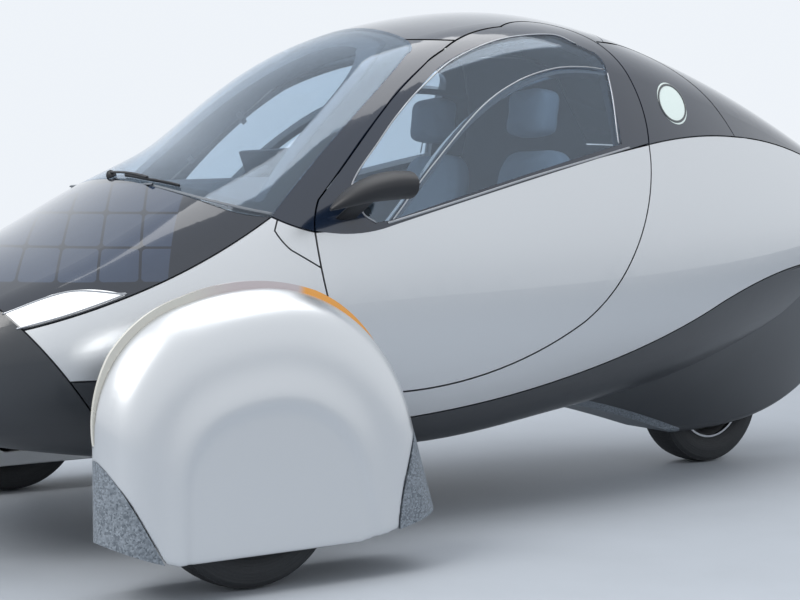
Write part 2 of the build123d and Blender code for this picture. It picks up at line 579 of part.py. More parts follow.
K = Vector(KINGPIN_X, FRONT_AXLE_Y, 0)
arm_mid = (LOW_ARM_Z + HIGH_ARM_Z) / 2
cover_inside = HALF_TRACK - COVER_HALF + COVER_WALL
upright = Pos(K.X, K.Y, arm_mid) * Box(34, 44, HIGH_ARM_Z - LOW_ARM_Z - EYE_H - 8)
upright += rod((K.X, K.Y, WHEEL_R), (HALF_TRACK + 50, K.Y, WHEEL_R), SPINDLE_R)
upright += rod((K.X, K.Y, WHEEL_R), (HALF_TRACK - 6, K.Y, WHEEL_R), 45)
upright += rod((K.X, K.Y, LOW_ARM_Z - EYE_H / 2 - 6), (K.X, K.Y, HIGH_ARM_Z + EYE_H / 2 + 6), KINGPIN_R)
for z in (LOW_ARM_Z, HIGH_ARM_Z):
    for side in (-1, 1):
        upright += Pos(K.X, K.Y, z + side * (EYE_H / 2 + 3.5)) * Cylinder(20, 5)
upright += Pos(K.X - 20, K.Y, arm_mid) * Box(24, 230, 60)
for side in (-1, 1):
    foot_x = cover_inside + SEAT_GAP
    upright += Pos((foot_x + K.X - 8) / 2, K.Y + side * 98, arm_mid) * Box(K.X - 8 - foot_x, 34, 60)
keep_pair("front_knuckle", biggest(upright))

# Wishbones
arms = []
for z, body_z, half_spread, along in WISHBONES:
    arm = Pos(K.X, K.Y, z) * Cylinder(EYE_R, EYE_H)
    for side in (-1, 1):
        arm += oval_bar((K.X - 8, K.Y + side * 6, z), (ARM_X, K.Y + side * half_spread, body_z), along, 18)
    arm = arm - Pos(K.X, K.Y, z) * Cylinder(KINGPIN_R + 0.1, EYE_H + 20) - BESIDE
    arms.append(biggest(arm))
keep("front_arms", Compound(children=arms + [mirrored(a) for a in arms]))

# Keel under the tail: y, bottom, half width of the bottom, half width at the top, top
KEEL = [(150, 165, 105, 600, 500), (700, 163, 140, 560, 660), (1234, 160, 145, 450, 790), (1650, 250, 105, 330, 850),
        (2010, 480, 40, 165, 900)]
KEEL_WALL = 15
KEEL_FRONT = [(210, 345), (560, 268), (960, 150)]
KEEL_SLOT = 285             # half length of the tyre's opening in the keel's bottom


def keel_section(row, inset):
    """V section of the keel with rounded lower corners."""
    y, bottom, low_half, high_half, top = row
    low_half, high_half, bottom = low_half - inset, high_half - inset * 1.3, bottom + inset
    r = 0.18 * low_half
    corner = [(low_half - r, bottom), (low_half - 0.3 * r, bottom + 0.3 * r), (low_half + 0.1 * r, bottom + r)]
    right = [Vector(x, y, z) for x, z in corner] + [Vector(high_half, y, top)]
    left = [Vector(-q.X, q.Y, q.Z) for q in right]
    edges = [Edge.make_line(left[0], right[0]), Edge.make_three_point_arc(*right[:3]),
             Edge.make_line(right[2], right[3]), Edge.make_line(right[3], left[3]),
             Edge.make_line(left[3], left[2]), Edge.make_three_point_arc(left[2], left[1], left[0])]
    return Face(Wire(edges))


def keel_form(inset):
    return Solid(loft([keel_section(row, inset) for row in KEEL]).wrapped)


def moved(runs, dy, dz):
    return [[(y + dy, z + dz) for y, z in run] for run in runs]


keel_ahead = [KEEL_FRONT, [(1100, 0), (0, 0)], [(0, 345)]]
inside_keel = [[(y + 14, z + 16) for y, z in KEEL_FRONT], [(1100, 100), (1990, 100)], [(1990, 1000), (150, 1000)]]
keel = keel_form(0) - across(keel_ahead) - (keel_form(KEEL_WALL) & across(inside_keel)) - BELOW
keel = keel - Pos(0, REAR_AXLE_Y, 150) * Box(2 * TUB_W, 2 * KEEL_SLOT, 200)
nose_cut = across(moved(keel_ahead, 20, 20))
keep("keel_nose", biggest(keel & nose_cut))
keep("rear_keel", biggest(keel - across(moved(keel_ahead, 20.3, 20.3))))

# Rear fork on a pivot tube under the body, with the axle pin between its legs
PIVOT_Y, PIVOT_Z = 800, 325
PIVOT_HALF = 150
LEG_X = 98
fork = rod((-PIVOT_HALF, PIVOT_Y, PIVOT_Z), (PIVOT_HALF, PIVOT_Y, PIVOT_Z), 26)
for side in (-1, 1):
    fork += rod((side * LEG_X, PIVOT_Y, PIVOT_Z), (side * LEG_X, REAR_AXLE_Y, WHEEL_R), 11)
    fork += Pos(side * (PIVOT_HALF - 18), PIVOT_Y, 370) * Box(36, 60, 120)
fork += rod((-LEG_X - 8, REAR_AXLE_Y, WHEEL_R), (LEG_X + 8, REAR_AXLE_Y, WHEEL_R), SPINDLE_R)
keep("rear_fork", biggest(fork - BELOW))

# Rear wheel housing inside the body
tub = rear_rod(TUB_R + 12, TUB_W + 12) - tub_hole
keep("wheel_tub", biggest((tub & LINING) & slab(600, 1900, 350)))

# Inside: floor over the tub, battery under the seats, seats, dashboard with its screen, steering yoke
cargo = (Pos(0, 1030, 625) * Box(1300, 1180, 14)) & LINING
keep("cargo_floor", biggest(cargo))
keep("battery_pack", biggest((Pos(0, -60, 380) * Box(640, 760, 130)) & LINING))
SEAT_X = 310
SEAT_W = 440
BATTERY_TOP = 445
cushion = Pos(SEAT_X, -250, BATTERY_TOP + SEAT_GAP + 77.5) * Box(SEAT_W, 500, 155)
back_side = [[(-90, 590), (-50, 470)], [(80, 470), (110, 620)], [(190, 1285), (75, 1300)]]
back = extrude(view_plane().offset(SEAT_X - SEAT_W / 2) * (Sketch() + outline(back_side)), amount=SEAT_W,
               dir=(1, 0, 0))
headrest = Pos(SEAT_X, 102, 1385) * Box(250, 110, 190)
keep_pair("seat", biggest((cushion + back + headrest) & LINING))

# Steering yoke on its column, which turns in a sleeve of the dashboard
YOKE = Vector(SEAT_X, -690, 985)
COLUMN_TILT = 22
COLUMN_R = 22
yoke_plane = Plane(origin=YOKE, x_dir=(1, 0, 0), z_dir=(0, cos(radians(COLUMN_TILT)), sin(radians(COLUMN_TILT))))
rim_band = Sketch() + (RectangleRounded(360, 200, 60) - RectangleRounded(310, 140, 40))
yoke = extrude(yoke_plane.offset(-14) * rim_band, amount=28)
yoke += extrude(yoke_plane.offset(-30) * RectangleRounded(330, 60, 20), amount=44)
yoke += extrude(yoke_plane.offset(-290) * Circle(COLUMN_R), amount=270)
keep("steering_yoke", biggest(yoke))
dash_side = [[(-1290, 1050)], [(-1200, 1125), (-1080, 1145), (-940, 1128)],
             [(-885, 1080), (-880, 1010), (-900, 930)], [(-1000, 860), (-1290, 860)]]
dash = across(dash_side) & LINING
dash += extrude(yoke_plane.offset(-330) * Circle(45), amount=160)
dash = dash - extrude(yoke_plane.offset(-335) * Circle(COLUMN_R + PIN_FIT), amount=200)
dash += Pos(0, -800, 1190) * Rot(20, 0, 0) * Box(330, 16, 120)
dash += rod((0, -950, 1110), (0, -806, 1180), 16)
keep("dashboard", biggest(dash))

# Door mirrors: pod on a foot from the door's front corner
# y, half width, half height, middle height of the pod
MIRROR = [(-1038, 6, 5, 1046), (-1012, 22, 17, 1062), (-950, 46, 33, 1090), (-870, 58, 42, 1111),
          (-762, 60, 42, 1119)]
MIRROR_X = 800
pod = Solid(loft([Plane(origin=(MIRROR_X, y, z), x_dir=(1, 0, 0), z_dir=(0, 1, 0)) * Ellipse(a, b)
                  for y, a, b, z in MIRROR]).wrapped)
foot = oval_bar((640, -905, 1005), (790, -895, 1085), 70, 16)
mirror = biggest((pod + foot) - BESIDE)
keep_pair("mirror", mirror)

# Wiper lying on the cowl
wiper = rod((120, -1372, 1172), (420, -1330, 1127), 6)
keep("wiper", biggest(wiper - Pos(0, 0, SEAT_GAP) * SKIN))

# Where a stranger takes hold: lifting pads under the floor and a towing eye under the tail
PAD_R = 40
PAD_X, PAD_Y, PAD_Z = 255, -700, 238
pads = [biggest((Pos(side * PAD_X, PAD_Y, PAD_Z + 25) * Cylinder(PAD_R, 50)) - BELOW) for side in (-1, 1)]
keep("lifting_pads", Compound(children=pads))
EYE_Y, EYE_Z = 1930, 380
TOW_R = 14
TOW_T = 20
eye_side = [[(EYE_Y - 30, EYE_Z), (EYE_Y, EYE_Z - 30), (EYE_Y + 30, EYE_Z)], [(EYE_Y + 40, EYE_Z + 110)],
            [(EYE_Y - 70, EYE_Z + 60)]]
tow = extrude(view_plane().offset(-TOW_T / 2) * (Sketch() + outline(eye_side)), amount=TOW_T, dir=(1, 0, 0))
tow = tow - extrude(Plane(origin=(-50, EYE_Y, EYE_Z), z_dir=(1, 0, 0)) * Circle(TOW_R), amount=100)
keep("tow_eye", biggest(tow - Pos(0, 0, -SEAT_GAP) * keel_form(0)))

for name, shape in OUT.items():
    export_step(shape, f"parts/{name}.step")
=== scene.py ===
import bpy
import bmesh
import numpy as np
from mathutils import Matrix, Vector
from mathutils.bvhtree import BVHTree


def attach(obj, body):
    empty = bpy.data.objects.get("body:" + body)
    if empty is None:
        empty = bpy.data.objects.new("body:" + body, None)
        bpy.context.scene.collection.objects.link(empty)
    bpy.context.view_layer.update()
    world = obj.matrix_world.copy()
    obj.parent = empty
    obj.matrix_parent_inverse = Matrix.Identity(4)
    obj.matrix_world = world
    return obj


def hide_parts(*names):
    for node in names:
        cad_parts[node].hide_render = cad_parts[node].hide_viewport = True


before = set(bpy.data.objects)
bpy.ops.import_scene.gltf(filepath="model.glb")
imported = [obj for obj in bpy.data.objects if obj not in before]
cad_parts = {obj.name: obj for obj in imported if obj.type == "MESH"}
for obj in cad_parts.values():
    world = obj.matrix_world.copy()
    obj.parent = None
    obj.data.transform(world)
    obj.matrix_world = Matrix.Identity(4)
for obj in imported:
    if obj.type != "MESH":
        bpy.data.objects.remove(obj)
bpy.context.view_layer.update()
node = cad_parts
SIDES = (("left", 1), ("right", -1))

# Safety cell: the moulded two seat tub and roof bars that every panel is bonded to. Woven fibre in dark resin,
# left bare inside the cabin, so its weave shows a little where light rakes across it.


class Value:
    """One socket in a material's nodes. Python's own operators on it add Math nodes."""

    def __init__(self, finish, socket):
        self.finish, self.socket = finish, socket

    def join(self, how, a, b=0.0):
        return self.finish.node("Math", {"operation": how}, {0: a, 1: b})

    def __add__(self, other):
        return self.join("ADD", self, other)

    def __sub__(self, other):
        return self.join("SUBTRACT", self, other)

    def __rsub__(self, other):
        return self.join("SUBTRACT", other, self)

    def __mul__(self, other):
        return self.join("MULTIPLY", self, other)

    def __truediv__(self, other):
        return self.join("DIVIDE", self, other)

    __radd__, __rmul__ = __add__, __mul__

    def above(self, edge, soft):
        """0 below `edge`, 1 above it, with a smooth step `soft` wide between."""
        ends = {"From Min": edge - soft / 2, "From Max": edge + soft / 2}
        return self.finish.node("MapRange", {"interpolation_type": "SMOOTHSTEP"}, {"Value": self, **ends})


class Finish:
    """A material being put together: one shader, with every other node made by one method."""

    def __init__(self, name, color, rough, metal=0.0, coat=0.0, coat_rough=0.03, **constants):
        self.material = bpy.data.materials.new(name)
        self.material.use_nodes = True
        self.tree = self.material.node_tree
        self.shader = self.tree.nodes["Principled BSDF"]
        self.set("Base Color", (*color, 1.0))
        fixed = {"Roughness": rough, "Metallic": metal, "Coat Weight": coat, "Coat Roughness": coat_rough}
        for socket, value in (fixed | constants).items():
            self.set(socket, value)
        self.color = color

    def node(self, kind, settings=None, inputs=None, out=0):
        made = self.tree.nodes.new("ShaderNode" + kind)
        for key, value in (settings or {}).items():
            setattr(made, key, value)
        for key, value in (inputs or {}).items():
            if isinstance(value, Value):
                self.tree.links.new(value.socket, made.inputs[key])
            else:
                made.inputs[key].default_value = value
        return Value(self, made.outputs[out])

    def set(self, socket, value):
        if isinstance(value, Value):
            self.tree.links.new(value.socket, self.shader.inputs[socket])
        else:
            self.shader.inputs[socket].default_value = value

    def place(self):
        """Object coordinates, which on these pieces are the car's own, in metres."""
        return self.node("TexCoord", out=3)

    def xyz(self):
        place = self.place()
        return [self.node("SeparateXYZ", inputs={0: place}, out=k) for k in range(3)]

    def noise(self, scale, detail=2.0, rough=0.5):
        spots = {"Vector": self.place(), "Scale": scale, "Detail": detail, "Roughness": rough}
        return self.node("TexNoise", inputs=spots)

    def mix(self, amount, a, b):
        """Colour a where amount is 0, colour b where it is 1."""
        ends = {key: value if isinstance(value, Value) else (*value, 1.0) for key, value in ((6, a), (7, b))}
        return self.node("Mix", {"data_type": "RGBA"}, {0: amount, **ends}, out=2)

    def shade(self, amount, low, high):
        """Base colour between low and high times the finish's own colour."""
        a, b = (tuple(min(c * k, 1.0) for c in self.color) for k in (low, high))
        self.set("Base Color", self.mix(amount, a, b))

    def bump(self, height, depth):
        """Raised by `height` (0 to 1) times `depth` metres."""
        self.set("Normal", self.node("Bump", inputs={"Strength": 1.0, "Distance": depth, "Height": height}))

    def on(self, *objects):
        for item in objects:
            item.data.materials.clear()
            item.data.materials.append(self.material)


def weave(finish, pitch):
    """Plain weave height: the product of two sines of the place, one along each pair of axes."""
    x, y, z = finish.xyz()
    turn = 2 * np.pi / pitch
    waves = [finish.node("Math", {"operation": "SINE"}, {0: (a + z) * turn}) for a in (x, y)]
    return waves[0] * waves[1] * 0.5 + 0.5


shell = Finish("bare_fibre", (0.055, 0.066, 0.084), 0.46, coat=0.2, coat_rough=0.25)
threads = weave(shell, 0.006)
shell.shade(threads, 0.92, 1.08)
shell.set("Roughness", 0.5 - threads * 0.06)
shell.bump(threads, 0.00003)
shell.on(node["safety_cell"], node["wheel_tub"])

# Outer panels: thin painted mouldings clipped over the cell. Dark gloss blue black above the belt line, fine
# flake silver along the sides and on the wheel covers, both under clear lacquer.
gloss_dark = Finish("deep_blue_black_lacquer", (0.008, 0.0145, 0.030), 0.12, coat=1.0, coat_rough=0.015)
cloud = gloss_dark.noise(3.0)
gloss_dark.shade(cloud, 0.85, 1.15)
gloss_dark.set("Roughness", 0.1 + gloss_dark.noise(900.0) * 0.06)
for name in ("roof_panel", "hatch_shell", "tail_cap"):
    gloss_dark.on(node[name])
for side, _ in SIDES:
    gloss_dark.on(*(node[f"{name}_{side}"] for name in ("quarter_panel", "screen_pillar", "door_frame")))

silver = Finish("flake_silver", (0.66, 0.675, 0.69), 0.34, metal=0.9, coat=0.5, coat_rough=0.08)
flakes = silver.noise(2600.0, 1.0)
silver.shade(flakes, 0.9, 1.1)
silver.set("Roughness", 0.27 + silver.noise(1500.0, 1.0) * 0.13)
for side, _ in SIDES:
    silver.on(*(node[f"{name}_{side}"] for name in ("fender", "body_side", "door_panel", "wheel_cover")))

satin_dark = Finish("satin_graphite_paint", (0.024, 0.028, 0.034), 0.36, coat=0.35, coat_rough=0.12)
satin_dark.shade(satin_dark.noise(5.0), 0.85, 1.2)
satin_dark.set("Roughness", 0.32 + satin_dark.noise(700.0) * 0.1)
satin_dark.on(node["nose_fascia"], node["belly_pan"], node["rear_keel"])

# Hood: dark glass like skin over rounded square solar cells, in rows that follow its fall to each side.
CELL_ROWS = (0.835, 0.1)            # lowest row's edge and a row's height, metres up
CELL_PITCH = 0.135
CELL_SKEW = 0.55                    # how far columns lean back for each metre towards the middle
hood = Finish("solar_hood", (0.0125, 0.017, 0.028), 0.1, coat=1.0, coat_rough=0.012)
x, y, z = hood.xyz()
aside = hood.node("Math", {"operation": "ABSOLUTE"}, {0: x})
row = (z - CELL_ROWS[0]) / CELL_ROWS[1]
column = (y + aside * CELL_SKEW + 1.362) / CELL_PITCH


def off_middle(finish, value):
    """Distance from the middle of the unit step that a value is in: 0 there, 0.5 at the step's edges."""
    part = finish.node("Math", {"operation": "FRACT"}, {0: value + 40.0})
    return finish.node("Math", {"operation": "ABSOLUTE"}, {0: part - 0.5})


across, along = off_middle(hood, row), off_middle(hood, column)
corner = [hood.node("Math", {"operation": "MAXIMUM"}, {0: v - 0.36, 1: 0.0}) for v in (across, along)]
reach = hood.node("Math", {"operation": "SQRT"}, {0: corner[0] * corner[0] + corner[1] * corner[1]})
inside = 1 - reach.above(0.105, 0.02)
field = row.above(0.0, 0.01) * (1 - row.above(2.92, 0.02)) * (1 - (y + aside * 0.8).above(-0.98, 0.004))
cells = inside * field
grain = hood.noise(14.0)
cell_blue = hood.mix(grain, (0.024, 0.036, 0.066), (0.032, 0.048, 0.082))
hood.set("Base Color", hood.mix(cells, (0.0115, 0.0155, 0.025), cell_blue))
hood.set("Roughness", 0.09 + cells * 0.08)
hood.on(node["hood"])

# Speckled corner pieces of the wheel covers and the keel's nose: moulded from chopped fibre, left unpainted.
speckle = Finish("chopped_fibre", (0.13, 0.15, 0.175), 0.5)
chips = speckle.node("TexVoronoi", {}, {"Vector": speckle.place(), "Scale": 210.0}, out=1)
chip = speckle.node("RGBToBW", inputs={0: chips})
speckle.set("Base Color", speckle.mix(chip, (0.06, 0.075, 0.092), (0.27, 0.305, 0.345)))
speckle.set("Roughness", 0.38 + chip * 0.25)
speckle.bump(chip, 0.0003)
speckle.on(node["keel_nose"], node["cover_corners_left"], node["cover_corners_right"])

# Glazing: laminated windscreen and hard coated door panes, all faintly blue. Light passes, and the sky mirrors in
# them, more at a slant.
glass = Finish("blue_tinted_glass", (0.80, 0.89, 1.0), 0.03, metal=1.0)
clear = glass.node("BsdfTransparent", inputs={"Color": (0.84, 0.89, 0.93, 1.0)})
slant = glass.node("LayerWeight", inputs={"Blend": 0.5}, out=1)
steep = slant * slant * slant * slant * slant
glass.tree.links.new(glass.node("MixShader", inputs={0: steep * 0.8 + 0.085, 1: clear, 2: Value(
    glass, glass.shader.outputs[0])}).socket, glass.tree.nodes["Material Output"].inputs[0])
panes = [f"{name}_{side}" for name in ("door_glass", "drop_window") for side, _ in SIDES]
glass.on(node["windshield"], *(node[name] for name in panes))

# Black trim: the windscreen's bonded frame, mirrors, wiper, yoke, all grained or satin moulded plastic.
black = Finish("grained_black_plastic", (0.011, 0.012, 0.015), 0.42)
pits = black.noise(1400.0, 3.0, 0.6)
black.set("Roughness", 0.38 + pits * 0.2)
black.shade(pits, 0.8, 1.25)
black.bump(pits, 0.00008)
black.on(node["screen_frame"], node["steering_yoke"], node["mirror_left"], node["mirror_right"])

cabin = Finish("slate_dash_skin", (0.035, 0.041, 0.053), 0.55)
leather = cabin.node("TexVoronoi", {"feature": "SMOOTH_F1"}, {"Vector": cabin.place(), "Scale": 420.0})
cabin.shade(leather, 0.8, 1.3)
cabin.bump(leather, 0.0002)
cabin.on(node["dashboard"])

felt = Finish("needle_felt", (0.02, 0.021, 0.024), 0.9)
felt.shade(felt.noise(900.0, 4.0, 0.7), 0.5, 1.6)
felt.on(node["cargo_floor"], node["battery_pack"])

# Lamps and badges
lamp = Finish("lamp_lens", (0.9, 0.93, 0.95), 0.08, coat=1.0)
lamp.set("Emission Color", (1.0, 1.0, 1.0, 1.0))
lamp.set("Emission Strength", 0.55)
lamp.on(node["headlamps"])

strip = Finish("milky_light_guide", (0.72, 0.66, 0.62), 0.25, coat=0.6)
_, y, _ = strip.xyz()
warm = strip.mix(y.above(-1.215, 0.03), (0.52, 0.46, 0.47), (0.80, 0.36, 0.07))
strip.set("Base Color", strip.mix(y.above(-1.50, 0.2), (0.56, 0.55, 0.50), warm))
strip.on(node["marker_strip_left"], node["marker_strip_right"])

badge = Finish("enamel_disc", (0.70, 0.80, 0.76), 0.2, coat=1.0)
glaze = badge.noise(240.0)
badge.shade(glaze, 0.96, 1.04)
badge.set("Roughness", 0.16 + glaze * 0.1)
badge.on(node["badge_discs"])

# Metal: rims, arms, knuckles and fork
alloy = Finish("machined_alloy", (0.42, 0.43, 0.45), 0.3, metal=1.0)
turning = alloy.noise(350.0, 2.0)
alloy.set("Roughness", 0.24 + turning * 0.16)
alloy.shade(turning, 0.9, 1.1)
alloy.on(*(node[f"rim_{side}"] for side in ("left", "right", "rear")))
coated = Finish("black_powder_coat", (0.022, 0.023, 0.025), 0.5)
orange_peel = coated.noise(500.0)
coated.set("Roughness", 0.42 + orange_peel * 0.18)
coated.bump(orange_peel, 0.00006)
coated.on(node["front_arms"], node["rear_fork"], node["front_knuckle_left"], node["front_knuckle_right"])
steel = Finish("zinc_plate", (0.38, 0.38, 0.37), 0.4, metal=1.0)
steel.shade(steel.noise(120.0), 0.8, 1.2)
steel.on(node["lifting_pads"], node["tow_eye"])

AXLES = (-1.4, 1.234)               # front and rear, along the car
BLOCKS = 84                         # tread blocks round a tyre
rubber = Finish("tread_rubber", (0.022, 0.024, 0.027), 0.72)
x, y, z = rubber.xyz()
front = 1 - y.above(0.0, 0.01)
past_axle = y - (front * (AXLES[0] - AXLES[1]) + AXLES[1])
up_axle = z - 0.275
angle = rubber.node("Math", {"operation": "ARCTAN2"}, {0: up_axle, 1: past_axle})
radius = rubber.node("Math", {"operation": "SQRT"}, {0: past_axle * past_axle + up_axle * up_axle})
beside = rubber.node("Math", {"operation": "ABSOLUTE"}, {0: x}) - front * 0.93
aside = rubber.node("Math", {"operation": "ABSOLUTE"}, {0: beside})
chevron = off_middle(rubber, angle * (BLOCKS / (2 * np.pi)) + aside * 9.0)
grooves = off_middle(rubber, aside / 0.034 + 0.25)
tread = radius.above(0.2665, 0.002)
cut = rubber.node("Math", {"operation": "MAXIMUM"}, {0: 1 - chevron.above(0.12, 0.06), 1: 1 - grooves.above(0.07, 0.04)})
ribs = off_middle(rubber, radius / 0.009)
rubber.shade(rubber.noise(160.0, 4.0), 0.75, 1.35)
rubber.bump((1 - cut) * tread * 4.0 + ribs.above(0.3, 0.1) * (1 - tread) * 0.4, 0.0012)
rubber.on(*(node[f"tyre_{side}"] for side in ("left", "right", "rear")))

# Bright trims along the doors' glass and belt: thin rolled strips clipped to the panels' edges, satin metal where the
# light catches them. Each is a rounded section carried along a line that is dropped onto the panels.


def through(points, count):
    """Places evenly spread along a smooth line: each span is a cubic whose end slopes come from its neighbours."""
    points = np.asarray(points, float)
    points = np.vstack([2 * points[0] - points[1], points, 2 * points[-1] - points[-2]])
    t = np.linspace(0, len(points) - 3, 40 * len(points))
    i = np.minimum(t.astype(int), len(points) - 4)
    f = (t - i)[:, None]
    a, b, c, d = (points[i + k] for k in range(4))
    curve = 0.5 * (2 * b + (c - a) * f + (2 * a - 5 * b + 4 * c - d) * f ** 2 + (3 * b - a - 3 * c + d) * f ** 3)
    reach = np.r_[0, np.cumsum(np.linalg.norm(np.diff(curve, axis=0), axis=1))]
    even = np.linspace(0, reach[-1], count)
    return np.stack([np.interp(even, reach, column) for column in curve.T], axis=1)


def skin_of(*names):
    """The surface of some CAD nodes, ready for rays."""
    corners, faces = [], []
    for name in names:
        mesh = node[name].data
        faces += [[i + len(corners) for i in face.vertices] for face in mesh.polygons]
        corners += [v.co.to_tuple() for v in mesh.vertices]
    return BVHTree.FromPolygons(corners, faces)


def lay(skin, side_view, count=90):
    """A smooth side view line dropped onto the car's left skin: its places, and the way out of the skin at each."""
    hits = [skin.ray_cast((1.6, y, z), (-1, 0, 0))[:2] for y, z in through(side_view, count)]
    hits = [hit for hit in hits if hit[0] is not None]
    out = np.array([normal for _, normal in hits])
    for _ in range(6):
        out[1:-1] = (out[:-2] + out[1:-1] + out[2:]) / 3
    return np.array([place for place, _ in hits]), out / np.linalg.norm(out, axis=1)[:, None]


def rounded(width, height, power=3.0, count=16):
    """A closed section between an oval and a box: cosine and sine, each raised to 2 / power."""
    t = np.linspace(0, 2 * np.pi, count, endpoint=False)
    c, s = np.cos(t), np.sin(t)
    return np.stack([np.sign(c) * abs(c) ** (2 / power) * width / 2,
                     np.sign(s) * abs(s) ** (2 / power) * height / 2], axis=1)


def swept(line, out, section):
    """A closed section carried along a line: its first number goes across the line, its second along `out`."""
    ahead = np.gradient(line, axis=0)
    across_line = np.cross(ahead, out)
    across_line /= np.linalg.norm(across_line, axis=1)[:, None]
    points = line[:, None] + across_line[:, None] * section[:, :1] + out[:, None] * section[:, 1:]
    rows, columns = points.shape[:2]
    i, j = np.meshgrid(np.arange(rows - 1), np.arange(columns), indexing="ij")
    right = (j + 1) % columns
    quads = np.stack([i * columns + j, i * columns + right, (i + 1) * columns + right, (i + 1) * columns + j], axis=2)
    ends = [list(range(columns))[::-1], list(range((rows - 1) * columns, rows * columns))]
    return points.reshape(-1, 3), quads.reshape(-1, 4).tolist() + ends


def make(name, points, faces, finish, body, mirror=False):
    """A new piece from points and faces, its normals turned outwards; `mirror` puts it on the car's right."""
    mesh = bpy.data.meshes.new(name)
    mesh.from_pydata((points * (-1 if mirror else 1, 1, 1)).tolist(), [], faces)
    form = bmesh.new()
    form.from_mesh(mesh)
    bmesh.ops.recalc_face_normals(form, faces=form.faces)
    form.to_mesh(mesh)
    form.free()
    mesh.shade_smooth()
    made = bpy.data.objects.new(name, mesh)
    bpy.context.scene.collection.objects.link(made)
    finish.on(made)
    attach(made, body)
    return made


satin = Finish("satin_bright_trim", (0.36, 0.375, 0.40), 0.3, metal=0.9)
brushed = satin.noise(700.0)
satin.set("Roughness", 0.24 + brushed * 0.14)
satin.shade(brushed, 0.92, 1.08)

# name, side view line as (y, z), width and height of the section, how far proud of the skin
DOOR_TRIMS = (
    ("belt_strip", ((-0.760, 1.003), (-0.600, 1.043), (-0.456, 1.080), (-0.170, 1.153), (0.120, 1.219),
                    (0.300, 1.259)), 0.007, 0.004, 0.0005),
    ("pane_bead", ((-0.800, 1.003), (-0.845, 1.034), (-0.868, 1.120), (-0.745, 1.262), (-0.650, 1.358),
                   (-0.549, 1.440), (-0.400, 1.535), (-0.172, 1.617), (0.070, 1.649), (0.165, 1.620)),
     0.005, 0.005, 0.001),
    ("bar_bead", ((-0.742, 1.012), (-0.574, 1.182), (-0.351, 1.371), (-0.170, 1.470), (0.005, 1.522),
                  (0.150, 1.536), (0.252, 1.533)), 0.005, 0.005, 0.001),
    ("post_bead", ((0.268, 1.520), (0.262, 1.430), (0.250, 1.330), (0.246, 1.272)), 0.005, 0.005, 0.001),
)
door_skin = skin_of(*(f"{name}_left" for name in ("door_frame", "door_panel", "door_glass", "drop_window")))
for name, line, width, height, proud in DOOR_TRIMS:
    places, out = lay(door_skin, line)
    points, faces = swept(places + out * proud, out, rounded(width, height))
    for side, sign in SIDES:
        make(f"{name}_{side}", points, faces, satin, f"door_{side}", mirror=sign < 0)

# Badge rings: a dark enamel band round each plain pale disc, set level with the panel.
BADGE = (0.592, 1.428, 0.076, 0.068)    # middle along the car and up, half width and half height seen from the side
dark_enamel = Finish("dark_enamel_band", (0.010, 0.017, 0.020), 0.22, coat=1.0)
dark_enamel.shade(dark_enamel.noise(300.0), 0.9, 1.1)
turn = np.linspace(0, 2 * np.pi, 33)
circle = np.stack([BADGE[0] + BADGE[2] * np.cos(turn), BADGE[1] + BADGE[3] * np.sin(turn)], axis=1)
places, out = lay(skin_of("badge_discs", "quarter_panel_left"), circle, 120)
points, faces = swept(places + out * 0.0004, out, rounded(0.009, 0.003))
for side, sign in SIDES:
    make(f"badge_ring_{side}", points, faces, dark_enamel, "body", mirror=sign < 0)

# Wheel covers: hand laid shells rubbed down smooth, so no line shows where the outer face meets the rounded edge.
SMOOTH_FROM = (1.020, 1.050)        # how far out the rubbing down starts, and where it is at its full strength
for side, sign in SIDES:
    mesh = node[f"wheel_cover_{side}"].data.copy()
    form = bmesh.new()
    form.from_mesh(mesh)
    bmesh.ops.remove_doubles(form, verts=form.verts, dist=0.00005)
    form.to_mesh(mesh)
    form.free()
    body_shell = bpy.data.objects.new(f"cover_shell_{side}", mesh)
    bpy.context.scene.collection.objects.link(body_shell)
    remesh = body_shell.modifiers.new("even", "REMESH")
    remesh.mode, remesh.voxel_size = "VOXEL", 0.005
    body_shell.data = bpy.data.meshes.new_from_object(
        body_shell.evaluated_get(bpy.context.evaluated_depsgraph_get()))
    body_shell.modifiers.clear()
    places = np.empty(len(body_shell.data.vertices) * 3)
    body_shell.data.vertices.foreach_get("co", places)
    share = np.clip((abs(places[::3]) - SMOOTH_FROM[0]) / (SMOOTH_FROM[1] - SMOOTH_FROM[0]), 0, 1)
    group = body_shell.vertex_groups.new(name="outer_face")
    for level in np.unique(np.round(share, 1)):
        group.add(np.flatnonzero(np.round(share, 1) == level).tolist(), float(level), "REPLACE")
    rub = body_shell.modifiers.new("rub", "SMOOTH")
    rub.factor, rub.iterations, rub.vertex_group = 0.5, 40, "outer_face"
    body_shell.data = bpy.data.meshes.new_from_object(
        body_shell.evaluated_get(bpy.context.evaluated_depsgraph_get()))
    body_shell.modifiers.clear()
    body_shell.data.shade_smooth()
    silver.on(body_shell)
    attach(body_shell, f"steered_{side}")
    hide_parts(f"wheel_cover_{side}")

# Cowl strip: the pale rubber lipped moulding that closes the gap between the windscreen's foot and the hood.
pale_lip = Finish("pale_cowl_moulding", (0.13, 0.145, 0.165), 0.45)
pale_lip.shade(pale_lip.noise(60.0), 0.9, 1.1)
COWL = ((-1.133, 1.030), (-1.230, 1.051), (-1.330, 1.084), (-1.392, 1.126))
places, out = lay(skin_of("windshield", "hood", "screen_frame"), COWL, 60)
across_nose = through(np.vstack([places, places[::-1] * (-1, 1, 1)]), 150)
up_nose = through(np.vstack([out, out[::-1] * (-1, 1, 1)]), 150)
up_nose /= np.linalg.norm(up_nose, axis=1)[:, None]
points, faces = swept(across_nose, up_nose, rounded(0.010, 0.005))
make("cowl_strip", points, faces, pale_lip, "body")

# Wiper: a pressed steel arm from its spindle cap to the blade, which carries a rubber lip along the windscreen's foot.
screen_skin = skin_of("windshield", "hood", "screen_frame")


